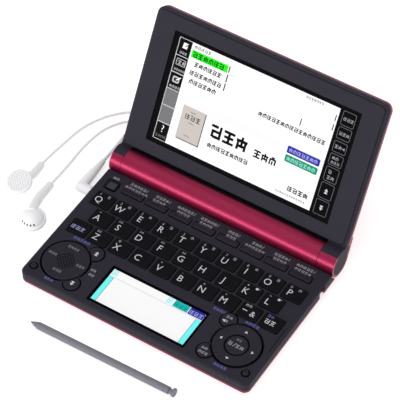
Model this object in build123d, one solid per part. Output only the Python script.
from build123d import *

# Electronic dictionary: a clamshell pocket computer with a keyboard and a small touch display in
# the base, a large touch display in the lid and a battery barrel along the hinge, with its stylus
# and a pair of plugged-in earphones.
#
# Frame: millimetres, +X to the reader's right, +Y away from the reader, +Z up. The origin is the
# centre of the base's flat underside. The lid is open, as it is when the dictionary is read.
#
# The two cells in the barrel set the case's width and height. The keys, displays and covers keep
# their distances from the case's sides, front and rear, and the key rows fill what is left.

from math import acos, atan2, cos, degrees, hypot, pi, radians, sin, tan
import os

# ---- cells and barrel -------------------------------------------------------------------------
cell_diameter = 14.2
cell_length = 50.5
cell_room = 0.3             # between a cell and the barrel's bore
cell_nub_radius = 2.7
cell_nub_length = 1.3
cell_edge = 0.4
spring_length = 2.3
contact_thickness = 0.5
contact_radius = 5.0
spring_wire = 0.35
spring_turns = 4
battery_spring_tip = 2.6    # radius of the spring's last turn
end_web = 9.0               # closed end of the barrel that carries a hinge unit
barrel_spare = 7.1          # solid length left at the barrel's right end
barrel_wall = 1.3
knuckle_gap = 0.3           # end gap between the barrel and each lid knuckle
left_knuckle = 7.7          # from the case's left side to the barrel
right_knuckle = 10.9        # from the barrel to the case's right side
chamber_length = spring_length + 2 * cell_length + 2 * contact_thickness
barrel_length = 2 * end_web + chamber_length + barrel_spare
barrel_radius = cell_diameter / 2 + cell_room + barrel_wall

# ---- case -------------------------------------------------------------------------------------
case_width = left_knuckle + barrel_length + right_knuckle
half_width = case_width / 2
left_side = -half_width
case_front = 52.75          # from the origin forward to the front edge
front = -case_front
side_rear = 37.7            # from the origin back to the end of the base's sides
corner_radius = 4.0
case_wall = 1.5
floor_thickness = 1.3
rim_height = 2.0            # height of the red tray's rim, where the dark top case starts
rim_line = 0.2              # fine groove that splits the rim
wall_play = 0.3             # between the tray's rear wall and the deck
underside_round = 0.8
lid_rest = 1.1              # from the deck up to the closed lid's face
deck_height = barrel_radius - lid_rest
deck_thickness = 1.4
deck_under = deck_height - deck_thickness
deck_chamfer = 0.8
foot_height = 0.4
foot_radius = 3.5
foot_recess = 0.6
foot_gap = 0.1
foot_round = 0.3
foot_side = 14.0            # from the case's side to a foot's middle
foot_columns = (left_side + foot_side, half_width - foot_side)
foot_places = [(x, y) for y in (front + 8.75, side_rear - 9.7) for x in foot_columns]

# ---- hinge ------------------------------------------------------------------------------------
hinge_y = side_rear + 6.2
hinge_z = barrel_radius     # the barrel stands flush with the underside
barrel_left = left_side + left_knuckle
barrel_right = half_width - right_knuckle
knuckle_inset = 0.1         # how much smaller than the barrel a knuckle is
knuckle_radius = barrel_radius - knuckle_inset
base_gap = 0.6              # between the barrel or a knuckle and the base beside it
lid_opening = 121.0         # angle between the deck and the lid as it stands
hinge_unit_radius = 4.5
hinge_pin_radius = 2.5
hinge_pin_reach = 6.0       # how far a hinge pin runs into its knuckle
running_clearance = 0.05
door_lip = 12.0             # angle above the axis at which the battery door's upper edge lies
door_side = -35.0           # a direction between the door's upper edge and straight down
door_gap = 0.15
barrel_bore = barrel_radius - barrel_wall
base_cut = barrel_radius + base_gap
knuckle_left_end = barrel_left - knuckle_gap
knuckle_right_start = barrel_right + knuckle_gap
door_left = barrel_left + end_web
door_right = door_left + chamber_length

# ---- keys -------------------------------------------------------------------------------------
row_keys = 10               # keys in the back row and in the front one
key_space = (1.6, 1.44)     # between neighbouring keys, along a row and from row to row
back_row_y = side_rear - 24.54
front_row_y = front + 42.63
key_pitch = (case_width - 22.0) / (row_keys - 1)
row_pitch = (back_row_y - front_row_y) / 2
key_size = (key_pitch - key_space[0], row_pitch - key_space[1])
first_key = (left_side + 11.06, back_row_y)     # centre of the first key of the back row
second_row_shift = key_pitch / 2 - 0.06
key_round = 1.1
key_edge = 0.45
key_top = deck_height + 0.8
key_bottom = deck_under - 0.7
key_travel = 0.6
key_gap = 0.3
key_flange = 0.5
key_flange_height = 0.6
function_count = 8
function_pitch = (case_width - 37.61) / (function_count - 1)
function_key = (function_pitch - 2.77, 4.0)
function_first = (left_side + 23.3, side_rear - 12.05)
function_bottom = deck_under + 0.35
function_back_top = deck_height + 0.05
function_front_top = deck_height + 0.75
function_round = 0.5
function_crest = 1.1        # flat strip along the front edge
flex_thickness = 0.15
power_key = (7.0, 6.3)
power_centre = (left_side + 9.1, side_rear - 12.55)
power_recess = (8.8, 8.3)
power_recess_floor = deck_height - 1.0
power_top = deck_height - 0.1
power_round = 0.6
cap_edge = 0.35             # rounding of the power key's and the round keys' tops
round_key_radius = 4.6
round_key_top = deck_height + 0.6
page_up_centre = (left_side + 29.7, front + 31.85)
page_down_centre = (left_side + 29.7, front + 8.15)
voice_centre = (half_width - 31.7, front + 32.25)
back_centre = (half_width - 31.7, front + 8.75)
disc_centre = (left_side + 17.97, front + 19.55)
disc_radius = 13.3
disc_sound_radius = 6.6
pad_centre = (half_width - 19.13, front + 20.32)
pad_radius = 13.4
enter_radius = 6.2
enter_gap = 0.55
enter_drop = 0.1            # how far the enter key's top lies under the pad's rim
rocker_top = deck_height + 0.45
rocker_bottom = deck_height - 1.0
rocker_edge = 0.4
rocker_dish = 0.25
rocker_rim = 1.0            # from the dish to the rocker's side
well_gap = 0.7
well_wall = 1.0
well_floor_top = deck_under - 0.2
well_floor_bottom = deck_under - 1.0
collar_width = 1.6
collar_depth = 0.35
sound_hole_radius = 0.32
sound_hole_pitch = 1.45
well_radius = pad_radius + well_gap
disc_well_radius = disc_radius + well_gap

# ---- boards and switches ----------------------------------------------------------------------
board_height = deck_under - 3.4
board_thickness = 1.0
board_top = board_height + board_thickness
board_margin = 1.2          # between the board and the case's inner walls
board_rear_gap = 0.5
board_hole_gap = 0.4
switch_radius = 2.0
switch_height = 1.0
boss_radius = 2.2
screw_places = [
    (left_side + 4.4, front + 4.45),
    (half_width - 4.4, front + 4.45),
    (left_side + 4.2, side_rear - 6.7),
    (half_width - 4.2, side_rear - 6.7),
    (left_side + 37.4, front + 14.75),
    (half_width - 37.8, front + 19.75),
]
screw_radius = 0.95
screw_head_radius = 1.8
screw_head_height = 1.0
screw_length = deck_under - 0.6
screw_slot = (2.2, 0.4, 0.6)    # length, width and depth of each arm of the cross recess
mat_thickness = 0.6
mat_margin = 0.5
dome_radius = 2.4
dome_gap = 0.05             # left over a dome when its key is pressed
dome_height = key_bottom - key_travel - dome_gap - board_top - mat_thickness
speaker_radius = 10.0
speaker_height = well_floor_bottom - 0.1 - floor_thickness
speaker_cone = (3.0, 1.2)   # radius of the cone's middle and depth of the cone
speaker_rim = 1.2

# ---- stylus silo, sockets and covers ----------------------------------------------------------
silo_front = side_rear - 15.3
silo_rear = side_rear - 10.8
silo_end = half_width - 95.0
silo_wall = 0.6
silo_top = deck_under - flex_thickness - 0.3
silo_margin = 0.5           # between the silo and the board round it
notch_front = side_rear - 15.7
notch_rear = side_rear - 10.4
notch_depth = 1.9
notch_round = 1.6
jack_y = side_rear - 19.4
jack_z = 2.7
jack_bore = 1.77
jack_hole = 2.0
jack_pocket = 0.8
jack_headroom = 0.15        # between the jack and a pressed key
jack_floor = floor_thickness - jack_pocket
jack_top = key_bottom - key_travel - jack_headroom
jack_block = (13.6, 5.8, jack_top - jack_floor)     # length along X, width along Y, height
jack_margin = 0.4           # between the jack and the board and mat cut round it
jack_depth = 0.4            # bore left past the plug pin's tip
card_front = front + 25.25
card_rear = front + 44.55
card_cover_depth = 2.1      # how far the card cover reaches in from the case's side
card_slit = 0.5             # the finger slit between the deck and the cover
card_gap = 0.15
card_cover_foot = 0.15
card_socket_length = 14.7
card_socket_height = 1.9
card_socket_drop = 0.6      # how far it sits below the board's underside
card_socket_margin = 1.2    # between the card opening's ends and the socket
card_slot = (13.7, 1.0)     # width along Y and height of the slot
card_inner = half_width - card_cover_depth
card_socket_right = card_inner - card_slit - 0.2
card_socket_left = card_socket_right - card_socket_length
usb_y = card_rear + 2.2
usb_block = (6.0, 7.4, 2.3)    # length along X, width along Y, height
usb_mouth = (6.8, 1.8)
usb_shell = 0.3
usb_back = 1.0
usb_tongue = 0.5
usb_drop = 0.4              # how far it sits below the board's underside
usb_floor = board_height - usb_drop

# ---- small touch display in the base ----------------------------------------------------------
sub_left = left_side + 42.0
sub_right = half_width - 42.5
sub_front = front + 3.75
sub_rear = front + 31.25
sub_corner = 0.6
sub_gap = 0.15
sub_face = deck_height - 0.7
sub_surround = (1.75, 1.8)  # black edge round the picture, at its sides and at its front and rear
sub_glass = 0.1
bumper_places = [(left_side + 4.8, front + 7.45), (half_width - 5.5, front + 7.45)]
bumper_radius = 1.7
bumper_ring = 0.4
bumper_top = deck_height + 0.9
bumper_seat = deck_height - 0.8
bumper_edge = 0.4

# ---- lid, in its own frame: x along the hinge, v up the lid from the axis, w out of its face ---
lid_angle = 180.0 - lid_opening
lid_bottom = barrel_radius + 0.6
lid_top = hinge_y + case_front - 1.55
lid_face = 0.0
lid_back = -7.4
lid_seam = -3.9             # where the dark frame meets the red shell
lid_wall = 1.3
lid_corner = 5.0
lid_back_round = 2.0
lid_web = 1.4
bezel_left = left_side + 1.0
bezel_right = half_width - 2.0
bezel_top = lid_top - 1.9
bezel_bottom = lid_bottom + 0.4
bezel_corner = 3.0
bezel_step = 0.9
frame_round = 0.6
bezel_edge = 0.35
seam_gap = 0.05
knuckle_skin = 1.3
knuckle_split = 4.8         # height on the knuckle's front at which red meets dark
knuckle_blend = 14.0        # where the lid's back runs on to the knuckle
knuckle_step = 0.4          # how far inside the knuckle's skin its front corner lies
window_left = left_side + 14.0
window_right = half_width - 14.0
window_bottom = lid_bottom + 8.2
window_top = lid_top - 10.1
window_drop = 0.8
window_thickness = 1.0
window_gap = 0.1
window_corner = 0.5
screen_left = left_side + 17.5
screen_right = half_width - 26.9
screen_bottom = lid_bottom + 10.7
screen_top = lid_top - 12.7
screen_gap = 0.1
module_margin = 1.6
module_back = -4.8
display_ribs = (screen_bottom + 1.5, screen_top - 4.4)  # where the two ribs behind the display start
display_rib = 1.5
lid_board = (left_side + 34.0, half_width - 34.0, screen_bottom + 10.0, screen_top - 14.4)
lid_board_thickness = 0.8
chip_places = [(-20.0, screen_bottom + 25.0), (12.0, screen_top - 28.4)]
chip_half = 4.5
chip_height = 0.35
ribbon_width = 9.0
ribbon_thickness = 0.2
ribbon_x = half_width - 24.0

# ---- stylus -----------------------------------------------------------------------------------
stylus_radius = 2.1
stylus_tail = (half_width - 32.5, front - 19.75)
stylus_length = 92.5
stylus_turn = 1.05          # how far it lies askew
stylus_nib_radius = 0.55
stylus_nib = 1.5
stylus_taper = 3.6
stylus_neck_radius = 1.5
stylus_neck = (1.2, 3.6)    # from the tail's end, where the neck starts and ends
stylus_lip_radius = 2.5
stylus_shank = 9.0          # how far the nib's shank runs into the barrel

# ---- earphones, measured left from the case's side and back from the jack -----------------------
plug_pin_radius = 1.75
plug_pin_length = 14.0      # from the plug's face to its tip
plug_rings = (4.2, 7.4)     # how far behind the tip its two insulating rings lie
plug_ring_width = 0.4
plug_ring_depth = 0.15
plug_reach = 8.2            # from the case's side to the middle of the plug
plug_radius = 3.1
plug_waist = 12.0           # how far back the plug's thick part reaches
plug_waist_radius = 2.6
plug_relief = 22.7          # how far back its strain relief ends
plug_relief_radius = 1.6
plug_gap = 0.3
lead_diameter = 2.0
branch_diameter = 1.5
table = -foot_height
coil_middle = 11.0          # radius of the middle of its turns
coil_columns = 3
coil_layers = 3
coil_edge = 0.8
splitter_size = (10.0, 5.2, 4.0)
splitter_edge = 1.2
branch_spread = 1.3
bud_radius = 7.75
bud_rim = 2.6
bud_edge = 0.9
bud_dome = 4.2
bud_grille_radius = 6.2
bud_grille = 0.5
bud_grille_stand = 0.15
bud_vent_radius = 0.45
bud_vent_place = 5.9        # from the dome's middle to its vents
bud_vents = 5
bud_vent_floor = 0.5        # from the rim to the vents' floors
vent_turn = 66.0
vent_step = 19.0
near_stem_radii = [3.1, 2.9, 2.6, 2.2]
far_stem_radii = [2.5, 2.4, 2.2]
stem_round = 0.6            # rounding of the end where the cord leaves
plug_x = left_side - plug_reach
lead_z = table + lead_diameter / 2
branch_z = table + branch_diameter / 2


def aside(x, y, z):
    """Place on the table by its distance from the case's left side and from the jack."""
    return (left_side + x, jack_y + y, z)


near_bud_centre = aside(-16.8, -34.9, 4.2)
far_bud_centre = aside(-38.4, -17.7, 6.2)
coil_centre = aside(59.0, 59.7, table)[:2]
splitter_start = aside(83.0, 51.7, table)[:2]   # middle of the end that the lead enters
splitter_out = splitter_start[0] + splitter_size[0]

# The lead's and the branches' routes: points chosen by hand, each z at the cord's centre.
lead_route = [
    (plug_x, jack_y + plug_relief, jack_z),
    aside(-8.5, 30.2, 2.1),
    aside(-9.1, 39.2, 1.1),
    aside(-9.8, 48.2, lead_z),
    aside(-6.5, 54.7, lead_z),
    aside(0.5, 58.5, lead_z),
    aside(14.5, 55.7, lead_z),
    aside(29.5, 49.2, lead_z),
    aside(44.5, 45.0, lead_z),
    aside(60.0, 44.6, lead_z),
]
tail_route = [
    aside(66.7, 46.4, 3.6),
    aside(71.4, 49.1, 2.9),
    aside(76.6, 51.1, 2.0),
    (splitter_start[0], splitter_start[1], 1.6),
]
outer_route = [
    (splitter_out, splitter_start[1] - branch_spread, 1.6),
    aside(101.0, 50.9, 0.8),
    aside(109.5, 54.3, branch_z),
    aside(115.0, 61.7, branch_z),
    aside(114.0, 70.7, branch_z),
    aside(107.0, 76.5, branch_z),
    aside(95.0, 77.9, branch_z),
    aside(75.0, 79.3, branch_z),
    aside(52.0, 79.0, branch_z),
    aside(29.0, 77.0, branch_z),
    aside(9.0, 73.6, branch_z),
    aside(-6.0, 69.0, branch_z),
    aside(-17.2, 63.9, branch_z),
    aside(-23.1, 58.7, branch_z),
    aside(-29.0, 51.3, branch_z),
    aside(-34.7, 38.9, branch_z),
    aside(-36.7, 22.7, branch_z),
    aside(-37.5, 11.2, 1.1),
    aside(-37.6, 2.7, 1.9),
]
inner_route = [
    (splitter_out, splitter_start[1] + branch_spread, 1.6),
    aside(100.0, 54.5, 0.8),
    aside(106.3, 57.9, branch_z),
    aside(110.4, 63.5, branch_z),
    aside(110.2, 69.9, branch_z),
    aside(104.5, 74.1, branch_z),
    aside(94.0, 75.3, branch_z),
    aside(76.0, 76.5, branch_z),
    aside(59.0, 76.7, branch_z),
    aside(38.0, 74.7, branch_z),
    aside(17.0, 71.1, branch_z),
    aside(0.0, 65.5, branch_z),
    aside(-9.0, 60.7, branch_z),
    aside(-14.8, 56.7, branch_z),
    aside(-19.7, 50.8, branch_z),
    aside(-23.8, 42.0, branch_z),
    aside(-25.5, 26.9, branch_z),
    aside(-24.9, 14.0, 0.4),
    aside(-24.5, 2.2, 0.9),
    aside(-24.3, -6.8, 1.8),
]

# The stems' middle lines, from inside each earbud to where its cord leaves.
near_stem = [
    aside(-18.6, -32.7, 7.0),
    aside(-20.9, -27.8, 6.0),
    aside(-23.6, -18.3, 3.4),
    inner_route[-1],
]
far_stem = [
    aside(-37.9, -14.3, 3.9),
    aside(-36.9, -6.3, 2.7),
    outer_route[-1],
]


# ---- helpers ----------------------------------------------------------------------------------
def block(x0, x1, y0, y1, z0, z1):
    """Box between two corners."""
    return Pos((x0 + x1) / 2, (y0 + y1) / 2, (z0 + z1) / 2) * Box(x1 - x0, y1 - y0, z1 - z0)


def soft_block(x0, x1, y0, y1, z0, z1, radius):
    """Box with rounded upright edges."""
    outline = Pos((x0 + x1) / 2, (y0 + y1) / 2, z0) * RectangleRounded(x1 - x0, y1 - y0, radius)
    return extrude(outline, z1 - z0)


def drum(x, y, z0, z1, radius):
    """Upright cylinder."""
    return Pos(x, y, (z0 + z1) / 2) * Cylinder(radius, z1 - z0)


def rod(x0, x1, y, z, radius):
    """Cylinder along X."""
    return Pos((x0 + x1) / 2, y, z) * Rot(0, 90, 0) * Cylinder(radius, x1 - x0)


def x_extrude(points, x0, x1):
    """Prism along X over an outline given as (y, z) points."""
    face = make_face(Polyline([(x0, y, z) for y, z in points], close=True))
    return extrude(face, x1 - x0, dir=(1, 0, 0))


def union(solids):
    """One solid from several that touch."""
    total = solids[0]
    for solid in solids[1:]:
        total = total + solid
    return total


def group(solids):
    """Separate solids kept together in one node."""
    return Compound(children=[piece for solid in solids for piece in solid.solids()])


def socket_box(size, y, z0, gap=0.0):
    """Box of a socket that stands against the left wall's inside, grown by a gap for its cutouts."""
    length, width, height = size
    x0 = left_side + case_wall
    y0, y1 = y - width / 2, y + width / 2
    return block(x0 - gap, x0 + length + gap, y0 - gap, y1 + gap, z0 - gap, z0 + height + gap)


def case_outline(inset, rear):
    """Plan of the base: rounded at the front, square at the rear."""
    front = -case_front + inset
    outline = Pos(0, (front + rear) / 2) * Rectangle(case_width - 2 * inset, rear - front)
    return fillet(outline.vertices().group_by(Axis.Y)[0], corner_radius - inset)


def case_block(inset, z0, z1, rear=side_rear):
    """Upright block over the base's plan."""
    return extrude(Pos(0, 0, z0) * case_outline(inset, rear), z1 - z0)


def outer_edges(part, height):
    """The edges of a case block at one height, without its straight rear edge."""
    edges = part.edges().filter_by_position(Axis.Z, height - 0.01, height + 0.01)
    return [edge for edge in edges if edge.center().Y < side_rear - 0.5]


def barrel_axis_drum(x0, x1, radius):
    """Cylinder on the hinge axis."""
    return rod(x0, x1, hinge_y, hinge_z, radius)


def hinge_point(radius, angle):
    """(y, z) at a radius and an angle about the hinge axis, from straight back and upward."""
    return hinge_y + radius * cos(radians(angle)), hinge_z + radius * sin(radians(angle))


def in_lid(part):
    """Carries a part from the lid's own frame to where the lid stands."""
    return Pos(0, hinge_y, hinge_z) * Rot(lid_angle, 0, 0) * part


# ---- key places -------------------------------------------------------------------------------
def row_centres(row):
    """Centres of the letter keys of a row, from the back one, 0, to the front one, 2."""
    count = row_keys - 1 if row == 1 else row_keys
    shift = second_row_shift if row == 1 else 0.0
    return [(first_key[0] + shift + key_pitch * i, first_key[1] - row_pitch * row) for i in range(count)]


def function_centres():
    """Centres of the function keys."""
    return [(function_first[0] + function_pitch * i, function_first[1]) for i in range(function_count)]


# ---- base -------------------------------------------------------------------------------------
def battery_door_shape(gap):
    """The battery door's shape, or with a gap the space it takes from the case."""
    x0, x1 = door_left - gap, door_right + gap
    ring = barrel_axis_drum(x0, x1, barrel_radius) - barrel_axis_drum(x0, x1, barrel_bore - gap)
    lip_angle = door_lip + degrees(gap / barrel_radius)
    far = 2 * barrel_radius
    rays = [hinge_point(far, angle) for angle in (lip_angle, door_side, -90)]
    wedge = x_extrude([(hinge_y, hinge_z), *rays], x0, x1)
    flat = block(x0, x1, side_rear + door_gap - gap, hinge_y, 0, floor_thickness + gap)
    return (ring & wedge) + flat


def tray():
    """Red tray: floor, rim with its fine line, and the wall that carries the barrel."""
    outside = case_block(0, 0, rim_height)
    outside = fillet(outer_edges(outside, 0), underside_round)
    line_z = rim_height * 0.6
    line = case_block(-1, line_z, line_z + rim_line, side_rear + 1)
    line = line - case_block(rim_line, line_z, line_z + rim_line, side_rear + 1)
    inside = case_block(case_wall, floor_thickness, rim_height + 1, side_rear - case_wall)
    y0, y1 = side_rear - 2 * case_wall, side_rear - case_wall
    rear_wall = block(barrel_left, barrel_right, y0, y1, floor_thickness, deck_under - wall_play)
    return outside - line - inside + rear_wall


def stylus_sleeve():
    """Sleeve open to the floor that guides the stylus under the function keys."""
    z0, z1 = floor_thickness, silo_top
    right = half_width - case_wall
    stop = block(silo_end - silo_wall, silo_end, silo_front - silo_wall, silo_rear + silo_wall, z0, z1)
    front = block(silo_end, right, silo_front - silo_wall, silo_front, z0, z1)
    rear = block(silo_end, right, silo_rear, silo_rear + silo_wall, z0, z1)
    return stop + front + rear


def function_key_flex():
    """Switch foil under the function keys, laid over the stylus sleeve."""
    x0 = function_centres()[0][0] - function_key[0] / 2
    x1 = function_centres()[-1][0] + function_key[0] / 2
    y0, y1 = silo_front - silo_wall, silo_rear + silo_wall
    return block(x0, x1, y0, y1, silo_top, silo_top + flex_thickness)


def board_posts():
    """Posts around the case screws, under the main board."""
    return [drum(x, y, floor_thickness, board_height, boss_radius) for x, y in screw_places]


def notch_cut():
    """Finger notch in the right side, where the stylus is drawn out."""
    x0 = half_width - notch_depth
    notch = block(x0, half_width + 1, notch_front, notch_rear, -1, deck_height - deck_chamfer)
    front_edge = notch.edges().filter_by(Axis.Z).sort_by(Axis.Y)[:2].sort_by(Axis.X)[0]
    mouth = block(x0 - 2, half_width + 1, silo_front, silo_rear, floor_thickness, deck_under)
    return fillet(front_edge, notch_round) + mouth


def jack_cut():
    """Hole in the left side for the earphone plug, and the pocket that seats the jack."""
    pocket = socket_box(jack_block, jack_y, jack_floor)
    return rod(left_side - 1, left_side + case_wall + 0.1, jack_y, jack_z, jack_hole) + pocket


def usb_cut():
    """Mouth of the data socket in the left side."""
    width, height = usb_mouth
    x0, x1 = left_side - 1, left_side + case_wall + 0.1
    z0 = usb_floor + (usb_block[2] - height) / 2
    return block(x0, x1, usb_y - width / 2, usb_y + width / 2, z0, z0 + height)


def card_cut():
    """Opening for the card cover in the right side and the deck's edge."""
    return block(
        card_inner - card_slit, half_width + 1, card_front, card_rear, rim_height - 0.01, deck_height + 1
    )


def screw_cut(x, y):
    """Counterbored hole from below for one case screw."""
    return drum(x, y, -1, screw_head_height, screw_head_radius + 0.15) + drum(
        x, y, 0, board_height + 1, screw_radius + running_clearance
    )


def bottom_case():
    """Red bottom case with the battery barrel."""
    barrel = barrel_axis_drum(barrel_left, barrel_right, barrel_radius)
    chamber = barrel_axis_drum(door_left, door_right, barrel_bore)
    flat_front = side_rear - 2 * case_wall
    keel = block(barrel_left, barrel_right, flat_front, hinge_y, 0, floor_thickness)
    keel = keel - barrel_axis_drum(barrel_left - 1, barrel_right + 1, barrel_bore)
    body = union([tray(), keel, barrel, *board_posts()])
    for x0, x1 in ((left_side - 1, barrel_left), (barrel_right, half_width + 1)):
        body = body - barrel_axis_drum(x0, x1, knuckle_radius + base_gap)
    body = body - chamber - battery_door_shape(door_gap)
    for x0, x1 in ((barrel_left - 1, door_left), (barrel_right - end_web, barrel_right + 1)):
        body = body - barrel_axis_drum(x0, x1, hinge_unit_radius)
    body = body - notch_cut() - jack_cut()
    for x, y in screw_places:
        body = body - screw_cut(x, y)
    for x, y in foot_places:
        body = body - drum(x, y, -1, foot_recess, foot_radius)
    return body


def key_hole(x, y, size, corner=key_round):
    """Hole in the deck round one rectangular key."""
    w, d = size[0] / 2 + key_gap, size[1] / 2 + key_gap
    return soft_block(x - w, x + w, y - d, y + d, deck_under - 1, deck_height + 1, corner + key_gap)


def rocker_well(centre, radius):
    """Round well in the deck for a rocking disc, down to its floor."""
    return drum(*centre, well_floor_top, deck_height + 1, radius)


def top_case():
    """Dark top case: the deck and its side walls."""
    outside = case_block(0, rim_height, deck_height)
    outside = chamfer(outer_edges(outside, deck_height), deck_chamfer)
    inside = case_block(case_wall, rim_height - 1, deck_under, side_rear + 1)
    body = outside - inside
    for centre, radius in ((disc_centre, disc_well_radius), (pad_centre, well_radius)):
        body = body + drum(*centre, well_floor_bottom, deck_under, radius + well_wall)
    for x, y in screw_places:
        body = body + drum(x, y, board_top, deck_under, boss_radius)
    for row in range(3):
        for x, y in row_centres(row):
            body = body - key_hole(x, y, key_size)
    for x, y in function_centres():
        body = body - key_hole(x, y, function_key, function_round)
    body = body - key_hole(*power_centre, power_key)
    w, d = power_recess[0] / 2, power_recess[1] / 2
    x, y = power_centre
    body = body - soft_block(x - w, x + w, y - d, y + d, power_recess_floor, deck_height + 1, key_round)
    for centre in (page_up_centre, page_down_centre, voice_centre, back_centre):
        body = body - drum(*centre, well_floor_bottom - 1, deck_height + 1, round_key_radius + key_gap)
    body = body - rocker_well(disc_centre, disc_well_radius) - rocker_well(pad_centre, well_radius)
    collar = Pos(*pad_centre, deck_height - collar_depth / 2) * Cone(
        well_radius, well_radius + collar_width, collar_depth
    )
    body = body - collar - drum(*disc_centre, 0, deck_height, disc_sound_radius)
    body = body - drum(*pad_centre, 0, deck_height, enter_radius + enter_gap)
    body = body - soft_block(sub_left, sub_right, sub_front, sub_rear, 0, deck_height + 1, sub_corner)
    for x, y in bumper_places:
        body = body - drum(x, y, bumper_seat, deck_height + 1, bumper_radius + bumper_ring)
    body = body - barrel_axis_drum(left_side - 1, half_width + 1, base_cut)
    body = body - notch_cut() - jack_cut() - usb_cut() - card_cut()
    for x, y in screw_places:
        body = body - drum(x, y, 0, screw_length, screw_radius + running_clearance)
    return body


def battery_door():
    """Red door under and behind the barrel."""
    return battery_door_shape(0)


def battery_cells():
    """Two size AA cells in line."""
    first = door_left + contact_thickness + spring_length
    radius = cell_diameter / 2
    cells = []
    for start in (first, first + cell_length):
        can = rod(start, start + cell_length - cell_nub_length, hinge_y, hinge_z, radius)
        can = chamfer(can.edges(), cell_edge)
        end = start + cell_length
        cells.append(can + rod(end - cell_nub_length, end, hinge_y, hinge_z, cell_nub_radius))
    return group(cells)


def battery_contacts():
    """Spring contact at the left end of the chamber and plate contact at the right."""
    x = door_left
    plate = rod(x, x + contact_thickness, hinge_y, hinge_z, contact_radius)
    wire, turns = spring_wire, spring_turns
    first = x + contact_thickness + wire * 0.9
    step = (spring_length - 1.9 * wire) / (turns - 1)
    shrink = (contact_radius - wire - battery_spring_tip) / (turns - 1)
    spring = plate
    for i in range(turns):
        radius = contact_radius - wire - shrink * i
        spring = spring + Pos(first + step * i, hinge_y, hinge_z) * Rot(0, 90, 0) * Torus(radius, wire)
        if i:
            side = hinge_y + (-1) ** i * (radius + shrink / 2)
            reach = shrink / 2 + wire * 0.6
            low, high = hinge_z - wire * 0.6, hinge_z + wire * 0.6
            x0, x1 = first + step * (i - 1), first + step * i
            spring = spring + block(x0, x1, side - reach, side + reach, low, high)
    right = rod(door_right - contact_thickness, door_right, hinge_y, hinge_z, contact_radius)
    return group([spring, right])


def hinge_unit(side):
    """Friction hinge: a drum pressed into the barrel's end and the pin that the lid turns on."""
    reach = knuckle_gap + hinge_pin_reach
    if side < 0:
        body = barrel_axis_drum(barrel_left, door_left, hinge_unit_radius)
        return body + barrel_axis_drum(barrel_left - reach, barrel_left, hinge_pin_radius)
    body = barrel_axis_drum(barrel_right - end_web, barrel_right, hinge_unit_radius)
    return body + barrel_axis_drum(barrel_right, barrel_right + reach, hinge_pin_radius)


def main_board():
    """Main circuit board, cut round the silo, the speaker and the sockets, with its switches."""
    rear = side_rear - 2 * case_wall - board_rear_gap
    board = case_block(case_wall + board_margin, board_height, board_top, rear)
    edge = silo_wall + silo_margin
    y0, y1 = silo_front - edge, silo_rear + edge
    board = board - block(silo_end - edge, half_width, y0, y1, 0, deck_height)
    board = board - drum(*disc_centre, 0, deck_height, speaker_radius + board_hole_gap)
    board = board - socket_box(jack_block, jack_y, board_height, jack_margin)
    board = board - socket_box(usb_block, usb_y, usb_floor)
    y0, y1 = card_front + card_socket_margin, card_rear - card_socket_margin
    board = board - block(card_socket_left, half_width, y0, y1, 0, deck_height)
    for x, y in (page_up_centre, page_down_centre, voice_centre, back_centre, power_centre):
        board = board + drum(x, y, board_top, board_top + switch_height, switch_radius)
    for x, y in screw_places:
        board = board - drum(x, y, 0, deck_height, screw_radius + board_hole_gap)
    return board


def card_socket():
    """Metal card socket let into the board behind the card cover."""
    z0 = board_height - card_socket_drop
    y0, y1 = card_front + card_socket_margin, card_rear - card_socket_margin
    shell = block(card_socket_left, card_socket_right, y0, y1, z0, z0 + card_socket_height)
    middle = (y0 + y1) / 2
    width, height = card_slot
    half = width / 2
    z = z0 + (card_socket_height - height) / 2
    return shell - block(card_socket_left + 1, half_width, middle - half, middle + half, z, z + height)


def card_cover():
    """Cover that forms the case's edge over the card socket and swings down."""
    gap = card_gap
    z0 = rim_height + card_cover_foot
    cover = block(card_inner, half_width, card_front + gap, card_rear - gap, z0, deck_height)
    edge = cover.edges().filter_by(Axis.Y).sort_by(Axis.Z)[-2:].sort_by(Axis.X)[-1]
    return chamfer(edge, deck_chamfer)


def earphone_jack():
    """Earphone jack in its pocket."""
    body = socket_box(jack_block, jack_y, jack_floor)
    x0 = left_side
    return body - rod(x0, x0 - plug_gap + plug_pin_length + jack_depth, jack_y, jack_z, jack_bore)


def usb_socket():
    """Data socket let into the board, behind its mouth in the left side."""
    shell = socket_box(usb_block, usb_y, usb_floor)
    length, width, height = usb_block
    inner = (length - usb_back, width - 2 * usb_shell, height - 2 * usb_shell)
    hollow = socket_box(inner, usb_y, usb_floor + usb_shell)
    tongue = socket_box((length, width * 0.6, usb_tongue), usb_y, usb_floor + height / 2)
    return shell - hollow + tongue


def dome(x, y):
    """Rubber dome under one key."""
    top = board_top + mat_thickness + dome_height
    base = board_top + mat_thickness
    return Pos(x, y, (base + top) / 2) * Cone(dome_radius, dome_radius * 0.7, top - base)


def key_mat():
    """Rubber mat with a dome under every key of the three letter rows."""
    x1 = half_width - case_wall - board_margin - 0.3
    y0 = first_key[1] - 2 * row_pitch - key_size[1] / 2 - mat_margin
    y1 = first_key[1] + key_size[1] / 2 + mat_margin
    mat = block(-x1, x1, y0, y1, board_top, board_top + mat_thickness)
    for row in range(3):
        for x, y in row_centres(row):
            mat = mat + dome(x, y)
    mat = mat - socket_box(jack_block, jack_y, board_height, jack_margin)
    mat = mat - socket_box(usb_block, usb_y, usb_floor, mat_margin)
    z1 = board_top + mat_thickness + dome_height
    return mat - block(card_socket_left - mat_margin, half_width, y0 - 1, card_rear, 0, z1)


def speaker():
    """Speaker under the function disc."""
    top = floor_thickness + speaker_height
    rim = drum(*disc_centre, floor_thickness, top, speaker_radius)
    middle, depth = speaker_cone
    cone = Pos(*disc_centre, top - depth / 2) * Cone(middle, speaker_radius - speaker_rim, depth)
    return rim - cone


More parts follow.
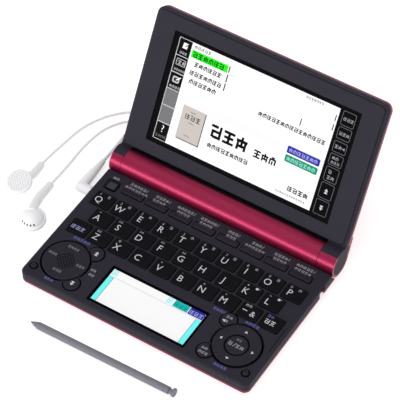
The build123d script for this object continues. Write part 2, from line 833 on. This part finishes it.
def rubber_feet():
    """Four round feet let into the underside."""
    feet = [drum(x, y, -foot_height, foot_recess, foot_radius - foot_gap) for x, y in foot_places]
    return group([fillet(foot.edges().group_by(Axis.Z)[0], foot_round) for foot in feet])


def deck_bumpers():
    """Two rubber stops that the closed lid rests near."""
    stops = []
    for x, y in bumper_places:
        stop = drum(x, y, bumper_seat, bumper_top, bumper_radius)
        stop = fillet(stop.edges().group_by(Axis.Z)[-1], bumper_edge)
        stops.append(stop - drum(x, y, bumper_top - bumper_edge, bumper_top + 1, bumper_radius * 0.45))
    return group(stops)


def case_screws():
    """Six screws that hold the case together, with cross recesses."""
    screws = []
    arm, half_slot, slot_depth = screw_slot[0] / 2, screw_slot[1] / 2, screw_slot[2]
    for x, y in screw_places:
        head = drum(x, y, 0.1, screw_head_height, screw_head_radius)
        shank = drum(x, y, screw_head_height, screw_length - 0.3, screw_radius)
        cross = block(x - arm, x + arm, y - half_slot, y + half_slot, 0, slot_depth)
        cross = cross + block(x - half_slot, x + half_slot, y - arm, y + arm, 0, slot_depth)
        screws.append(head + shank - cross)
    return group(screws)


def sub_display():
    """Small touch display module behind its opening in the deck."""
    gap = sub_gap
    x0, x1, y0, y1 = sub_left + gap, sub_right - gap, sub_front + gap, sub_rear - gap
    body = block(x0, x1, y0, y1, board_top, sub_face)
    side, end = sub_surround
    x0, x1, y0, y1 = sub_left + side, sub_right - side, sub_front + end, sub_rear - end
    return body - block(x0, x1, y0, y1, sub_face - sub_glass, sub_face + 1)


# ---- keys -------------------------------------------------------------------------------------
def letter_key(x, y):
    """One black key with its flange under the deck."""
    w, d = key_size[0] / 2, key_size[1] / 2
    cap = soft_block(x - w, x + w, y - d, y + d, key_bottom, key_top, key_round)
    cap = fillet(cap.edges().group_by(Axis.Z)[-1], key_edge)
    w, d = w + key_flange, d + key_flange
    top = key_bottom + key_flange_height
    return cap + soft_block(x - w, x + w, y - d, y + d, key_bottom, top, key_round)


def letter_row(row, skip=()):
    """One row of letter keys, without the keys that are nodes of their own."""
    centres = row_centres(row)
    return group([letter_key(x, y) for i, (x, y) in enumerate(centres) if i not in skip])


def function_keys():
    """Eight narrow keys, each rising towards its front edge."""
    keys = []
    for x, y in function_centres():
        w, d = function_key[0] / 2, function_key[1] / 2
        side = [
            (y - d, function_bottom),
            (y + d, function_bottom),
            (y + d, function_back_top),
            (y - d + function_crest, function_front_top),
            (y - d, function_front_top),
        ]
        z0, z1 = function_bottom, function_front_top
        outline = soft_block(x - w, x + w, y - d, y + d, z0, z1, function_round)
        keys.append(x_extrude(side, x - w, x + w) & outline)
    return group(keys)


def power_button():
    """Power key in its recess."""
    w, d = power_key[0] / 2, power_key[1] / 2
    x, y = power_centre
    cap = soft_block(x - w, x + w, y - d, y + d, key_bottom, power_top, power_round)
    return fillet(cap.edges().group_by(Axis.Z)[-1], cap_edge)


def round_key(centre, neighbour, neighbour_radius):
    """Round key, cut back where the rocking disc beside it lies."""
    cap = drum(*centre, key_bottom, round_key_top, round_key_radius)
    cap = cap - drum(*neighbour, 0, round_key_top + 1, neighbour_radius + key_gap)
    return fillet(cap.edges().group_by(Axis.Z)[-1], cap_edge)


def rocker(centre, radius, hole):
    """Rocking disc with a gently dished top."""
    x, y = centre
    body = drum(x, y, rocker_bottom, rocker_top, radius)
    body = fillet(body.edges().group_by(Axis.Z)[-1], rocker_edge)
    dish_radius = ((radius - rocker_rim) ** 2 + rocker_dish**2) / (2 * rocker_dish)
    body = body - Pos(x, y, rocker_top - rocker_dish + dish_radius) * Sphere(dish_radius)
    if hole:
        body = body - drum(x, y, 0, rocker_top + 1, hole)
    return body


def sound_holes():
    """Places of the speaker holes: a diagonal grid inside a circle."""
    step = sound_hole_pitch
    reach = disc_sound_radius - 1.0
    spots = []
    for i in range(-6, 7):
        for j in range(-6, 7):
            x, y = (i + j) * step * 0.7, (i - j) * step * 0.7
            if hypot(x, y) < reach:
                spots.append((disc_centre[0] + x, disc_centre[1] + y))
    return spots


def function_disc():
    """Left disc: a four-way rocking key whose middle is the speaker's grille."""
    body = rocker(disc_centre, disc_radius, 0)
    for x, y in sound_holes():
        body = body - drum(x, y, 0, rocker_top + 1, sound_hole_radius)
    return body


def cursor_pad():
    """Right disc: the four-way cursor pad."""
    return rocker(pad_centre, pad_radius, enter_radius + enter_gap)


def enter_key():
    """Round enter key in the middle of the cursor pad."""
    cap = drum(*pad_centre, key_bottom, rocker_top - enter_drop, enter_radius)
    return fillet(cap.edges().group_by(Axis.Z)[-1], rocker_edge)


# ---- lid, built in its own frame ----------------------------------------------------------------
def lid_outline(inset, corner, v0=lid_bottom, v1=lid_top):
    """Plan of the lid: rounded at the top, square at the hinge."""
    bottom, top = v0, v1 - inset
    outline = Pos(0, (bottom + top) / 2) * Rectangle(case_width - 2 * inset, top - bottom)
    return fillet(outline.vertices().group_by(Axis.Y)[-1], corner)


def lid_hollow():
    """Plan of the room inside the lid's walls."""
    return lid_outline(lid_wall, lid_corner - lid_wall, lid_bottom + lid_wall)


def knuckle_outline():
    """Outline of a knuckle with the stretch of back that runs on to it, as a prism."""
    distance = hypot(knuckle_blend, lid_back)
    bearing = atan2(lid_back, knuckle_blend) - acos(knuckle_radius / distance)
    touch = (knuckle_radius * cos(bearing), knuckle_radius * sin(bearing))
    face = lid_face - bezel_step
    return [
        (0, 0),
        touch,
        (knuckle_blend, lid_back),
        (knuckle_blend, face),
        (lid_bottom, face),
        (knuckle_radius - knuckle_step, 0),
    ]


def knuckle_solid(x0, x1):
    """Whole knuckle, shell and frame together."""
    disc = rod(x0, x1, 0, 0, knuckle_radius)
    return disc + x_extrude(knuckle_outline(), x0, x1)


def knuckle_frame_zone(x0, x1, gap):
    """The part of a knuckle that belongs to the dark frame."""
    core = rod(x0, x1, 0, 0, knuckle_radius - knuckle_skin - gap)
    front = knuckle_split + gap
    below = block(x0, x1, front, lid_bottom + 0.01, lid_back + lid_wall + gap, knuckle_radius + 1)
    above = block(x0, x1, lid_bottom, 2 * knuckle_blend, lid_seam + gap, knuckle_radius + 1)
    return core + below + above


knuckles = ((left_side, knuckle_left_end), (knuckle_right_start, half_width))


def lid_shell():
    """Red outer shell of the lid, hooked round both knuckles."""
    outside = extrude(Pos(0, 0, lid_back) * lid_outline(0, lid_corner), lid_seam - lid_back)
    back_edges = outside.edges().filter_by_position(Axis.Z, lid_back - 0.01, lid_back + 0.01)
    back_edges = [edge for edge in back_edges if edge.center().Y > lid_bottom + 0.5]
    outside = fillet(back_edges, lid_back_round)
    floor = lid_back + lid_wall
    body = outside - extrude(Pos(0, 0, floor) * lid_hollow(), lid_seam - floor + 1)
    for v in display_ribs:
        body = body + block(screen_left, lid_board[1], v, v + display_rib, floor, module_back)
    for x0, x1 in knuckles:
        body = body - block(x0 - 1, x1 + 1, lid_bottom - 1, knuckle_blend, floor, 5)
        hook = knuckle_solid(x0, x1) - knuckle_frame_zone(x0 - 1, x1 + 1, 0)
        body = body + hook
    return body


def lid_frame():
    """Dark inner frame with the raised bezel round the window and the cores of both knuckles."""
    base_top = lid_face - bezel_step
    seam = lid_seam + seam_gap
    plate = extrude(Pos(0, 0, seam) * lid_outline(0, lid_corner), base_top - seam)
    plate = fillet(
        [edge for edge in plate.edges().filter_by_position(Axis.Z, base_top - 0.01, base_top + 0.01)
         if edge.center().Y > lid_bottom + 0.5],
        frame_round,
    )
    under = lid_face - bezel_step - lid_web
    inside = extrude(Pos(0, 0, seam - 1) * lid_hollow(), under - seam + 1)
    x0, x1 = bezel_left, bezel_right
    raised = soft_block(x0, x1, bezel_bottom, bezel_top, base_top, lid_face, bezel_corner)
    raised = chamfer(raised.edges().group_by(Axis.Z)[-1], bezel_edge)
    body = plate - inside + raised
    body = body - soft_block(
        window_left, window_right, window_bottom, window_top, seam - 1, lid_face + 1, window_corner
    )
    for k0, k1 in knuckles:
        core = knuckle_solid(k0, k1) & knuckle_frame_zone(k0, k1, seam_gap)
        body = body + core
    bore = hinge_pin_radius + running_clearance
    depth = hinge_pin_reach + 0.5
    body = body - rod(knuckle_left_end - depth, knuckle_left_end + 1, 0, 0, bore)
    return body - rod(knuckle_right_start - 1, knuckle_right_start + depth, 0, 0, bore)


def window_plate():
    """Black glossy window surround, printed with touch keys down its right side."""
    x0, x1 = window_left + window_gap, window_right - window_gap
    v0, v1 = window_bottom + window_gap, window_top - window_gap
    top = lid_face - window_drop
    plate = soft_block(x0, x1, v0, v1, top - window_thickness, top, window_corner - window_gap)
    bottom = top - 2 * window_thickness
    return plate - block(screen_left, screen_right, screen_bottom, screen_top, bottom, top + 1)


def main_display():
    """Main touch display module, its glass standing in the window plate."""
    top = lid_face - window_drop
    under = top - window_thickness
    solids = []
    steps = ((-screen_gap, under, top - screen_gap), (module_margin, module_back, under))
    for grow, bottom, height in steps:
        x0, x1 = screen_left - grow, screen_right + grow
        v0, v1 = screen_bottom - grow, screen_top + grow
        solids.append(block(x0, x1, v0, v1, bottom, height))
    return union(solids)


def display_board():
    """Board on the back of the main display."""
    x0, x1, v0, v1 = lid_board
    back = module_back - lid_board_thickness
    board = block(x0, x1, v0, v1, back, module_back)
    chips = [
        block(x - chip_half, x + chip_half, v - chip_half, v + chip_half, back - chip_height, back)
        for x, v in chip_places
    ]
    return union([board, *chips])


def display_ribbon():
    """Flat cable from the display's board towards the right hinge."""
    top = module_back - 0.1
    w = ribbon_width / 2
    x1 = lid_board[1]
    v1 = lid_board[2] + 3
    low = lid_bottom + lid_wall + 0.3
    across = block(x1, ribbon_x + w, v1, v1 + ribbon_width, top - ribbon_thickness, top)
    down = block(ribbon_x - w, ribbon_x + w, low, v1 + 1, top - ribbon_thickness, top)
    return across + down


# ---- stylus -----------------------------------------------------------------------------------
def stylus_place(part):
    """Lays a stylus part, built along -X from its tail at the origin, on the table."""
    return Pos(*stylus_tail, table) * Rot(0, 0, stylus_turn) * part


def stylus_barrel():
    """Grey stylus body with its neck and pull lip."""
    start, end = stylus_neck
    length = stylus_length - stylus_nib
    body = rod(-(length - stylus_taper), -end, 0, stylus_radius, stylus_radius)
    tip_x = -(length - stylus_taper)
    taper = Pos(tip_x - stylus_taper / 2, 0, stylus_radius) * Rot(0, -90, 0) * Cone(
        stylus_radius, stylus_nib_radius + 0.45, stylus_taper
    )
    neck = rod(-end, -start, 0, stylus_radius, stylus_neck_radius)
    lip = rod(-start, 0, 0, stylus_lip_radius, stylus_lip_radius)
    body = union([body, taper, neck, lip])
    bore_radius = stylus_nib_radius + running_clearance
    bore = rod(-length - 1, -length + stylus_shank, 0, stylus_radius, bore_radius)
    return stylus_place(body - bore)


def stylus_nib_part():
    """Hard nib with its shank in the barrel."""
    length = stylus_length
    shank = rod(-length + stylus_nib_radius, -length + stylus_nib + stylus_shank - 0.5, 0, stylus_radius,
                stylus_nib_radius)
    point = Pos(-length + stylus_nib_radius, 0, stylus_radius) * Sphere(stylus_nib_radius)
    return stylus_place(shank + point)


# ---- earphones --------------------------------------------------------------------------------
def cord_tube(route, diameter):
    """Cord along straight runs joined by tangent arcs, each as large as its runs allow."""
    points = [Vector(*point) for point in route]
    radii = []
    for before, here, after in zip(points, points[1:], points[2:]):
        turn = (here - before).get_angle(after - here)
        shorter = min((here - before).length, (after - here).length)
        radii.append(0.45 * shorter / tan(radians(turn) / 2))
    line = FilletPolyline(*points, radius=radii)
    start = Plane(origin=points[0], z_dir=points[1] - points[0])
    tube = sweep(start * Circle(diameter / 2), path=line)
    ratio = tube.volume / (pi * (diameter / 2) ** 2 * line.length)
    listed = " ".join(f"{radius:.1f}" for radius in radii)
    print(f"cord {line.length:.1f} mm, volume over section x length {ratio:.4f}, radii {listed}")
    return tube


def plug_pin():
    """Metal plug pin, rounded at its tip, with its two insulating grooves."""
    tip_x = left_side - plug_gap + plug_pin_length
    pin = rod(plug_x + 1.0, tip_x - plug_pin_radius, jack_y, jack_z, plug_pin_radius)
    pin = pin + Pos(tip_x - plug_pin_radius, jack_y, jack_z) * Sphere(plug_pin_radius)
    for back in plug_rings:
        x = tip_x - back
        outer = rod(x, x + plug_ring_width, jack_y, jack_z, plug_pin_radius + 1)
        pin = pin - (outer - rod(x - 1, x + 1, jack_y, jack_z, plug_pin_radius - plug_ring_depth))
    return pin


def limb(points, radii, end_round):
    """Round limb along a line of points, with a radius at each, joined by balls."""
    pieces = []
    for (start, end), (thick, thin) in zip(zip(points, points[1:]), zip(radii, radii[1:])):
        a, b = Vector(*start), Vector(*end)
        length = (b - a).length
        cone = Cone(thick, thin, length)
        if end == points[-1]:
            cone = fillet(cone.edges().group_by(Axis.Z)[-1], end_round)
        if pieces:
            pieces.append(Pos(*start) * Sphere(thick))
        pieces.append(Plane(origin=a, z_dir=b - a) * (Pos(0, 0, length / 2) * cone))
    return union(pieces)


def plug_grip():
    """White moulded angle plug: a round shoulder that tapers back to the lead."""
    head_face = left_side - plug_gap
    across = rod(plug_x, head_face, jack_y, jack_z, plug_radius)
    shoulder = Pos(plug_x, jack_y, jack_z) * Sphere(plug_radius)
    reaches = [0, plug_waist, plug_relief]
    points = [(plug_x, jack_y + reach, jack_z) for reach in reaches]
    radii = [plug_radius, plug_waist_radius, plug_relief_radius]
    body = union([across, shoulder, limb(points, radii, plug_gap / 2)])
    return body - rod(plug_x + 1.0, head_face + 1, jack_y, jack_z, plug_pin_radius)


def lead_coil():
    """Outer shape of the put-away coil of the main lead."""
    spread = coil_columns * lead_diameter / 2
    height = coil_layers * lead_diameter
    ring = drum(*coil_centre, table, table + height, coil_middle + spread)
    ring = ring - drum(*coil_centre, table - 1, table + height + 1, coil_middle - spread)
    return fillet(ring.edges(), coil_edge)


def cord_splitter():
    """Small moulded piece where the lead parts into two branches."""
    x, y = splitter_start
    length, width, height = splitter_size
    body = block(x, x + length, y - width / 2, y + width / 2, table, table + height)
    return fillet(body.edges().filter_by(Axis.X), splitter_edge)


def earbud_solid():
    """Earbud's housing on its speaker axis, +Z out of the grille."""
    rim = Cylinder(bud_radius, bud_rim)
    rim = fillet(rim.edges(), bud_edge)
    cap = bud_radius - bud_edge
    ball = (cap**2 + bud_dome**2) / (2 * bud_dome)
    reach = 2 * bud_radius
    dome_part = Pos(0, 0, ball - bud_dome - bud_rim / 2) * Sphere(ball)
    dome_part = dome_part & block(-reach, reach, -reach, reach, -reach, -bud_rim / 2)
    seat = drum(0, 0, bud_rim / 2 - bud_grille, bud_rim, bud_grille_radius)
    return rim + dome_part - seat


def earbud_grille_solid():
    """Perforated grille of an earbud, in the earbud's own frame."""
    face = bud_rim / 2
    return drum(0, 0, face - bud_grille, face + bud_grille_stand, bud_grille_radius - running_clearance)


near_bud = Pos(*near_bud_centre) * Rot(8, 0, -16) * Rot(180, 0, 0)
far_bud = Pos(*far_bud_centre) * Rot(15, 0, 0)


def earbud(place, stem):
    """An earbud's housing where it lies, with its stem kept clear of the grille's seat."""
    seat = drum(0, 0, bud_rim / 2 - bud_grille, bud_radius, bud_grille_radius)
    return place * earbud_solid() + (stem - place * seat)


def near_earbud():
    """Earbud that lies on its grille, nearer the case, with vents in its domed back."""
    body = earbud(near_bud, limb(near_stem, near_stem_radii, stem_round))
    depth = bud_rim / 2 + bud_vent_floor
    for i in range(bud_vents):
        angle = vent_turn + (i - bud_vents // 2) * vent_step
        vent = drum(bud_vent_place, 0, -depth - 2 * bud_dome, -depth, bud_vent_radius)
        body = body - near_bud * Rot(0, 0, angle) * vent
    return body


def far_earbud():
    """Earbud that lies on its back with its grille up."""
    return earbud(far_bud, limb(far_stem, far_stem_radii, stem_round))


def earbud_grilles():
    """Both earbuds' grilles."""
    return group([near_bud * earbud_grille_solid(), far_bud * earbud_grille_solid()])


# ---- output -----------------------------------------------------------------------------------
last_key = len(row_centres(2)) - 1
nodes = {
    "bottom_case": bottom_case(),
    "top_case": top_case(),
    "battery_door": battery_door(),
    "battery_cells": battery_cells(),
    "battery_contacts": battery_contacts(),
    "hinge_unit_left": hinge_unit(-1),
    "hinge_unit_right": hinge_unit(1),
    "main_board": main_board(),
    "key_mat": key_mat(),
    "speaker": speaker(),
    "sub_display": sub_display(),
    "earphone_jack": earphone_jack(),
    "usb_socket": usb_socket(),
    "card_socket": card_socket(),
    "card_cover": card_cover(),
    "rubber_feet": rubber_feet(),
    "deck_bumpers": deck_bumpers(),
    "case_screws": case_screws(),
    "letter_keys_back_row": letter_row(0),
    "letter_keys_middle_row": letter_row(1),
    "letter_keys_front_row": letter_row(2, skip=(0, last_key)),
    "shift_key": letter_key(*row_centres(2)[0]),
    "delete_key": letter_key(*row_centres(2)[last_key]),
    "function_keys": function_keys(),
    "power_key": power_button(),
    "page_up_key": round_key(page_up_centre, disc_centre, disc_well_radius),
    "page_down_key": round_key(page_down_centre, disc_centre, disc_well_radius),
    "voice_key": round_key(voice_centre, pad_centre, well_radius),
    "back_key": round_key(back_centre, pad_centre, well_radius),
    "function_disc": function_disc(),
    "cursor_pad": cursor_pad(),
    "enter_key": enter_key(),
    "lid_shell": in_lid(lid_shell()),
    "lid_frame": in_lid(lid_frame()),
    "window_plate": in_lid(window_plate()),
    "main_display": in_lid(main_display()),
    "display_board": in_lid(display_board()),
    "display_ribbon": in_lid(display_ribbon()),
    "stylus_sleeve": stylus_sleeve(),
    "function_key_flex": function_key_flex(),
    "stylus_barrel": stylus_barrel(),
    "stylus_nib": stylus_nib_part(),
    "plug_pin": plug_pin(),
    "plug_grip": plug_grip(),
    "lead_to_coil": cord_tube(lead_route, lead_diameter),
    "lead_coil": lead_coil(),
    "lead_to_splitter": cord_tube(tail_route, lead_diameter),
    "cord_splitter": cord_splitter(),
    "branch_outer": cord_tube(outer_route, branch_diameter),
    "branch_inner": cord_tube(inner_route, branch_diameter),
    "near_earbud": near_earbud(),
    "far_earbud": far_earbud(),
    "earbud_grilles": earbud_grilles(),
}

os.makedirs("parts", exist_ok=True)
for name, part in nodes.items():
    export_step(part, f"parts/{name}.step")
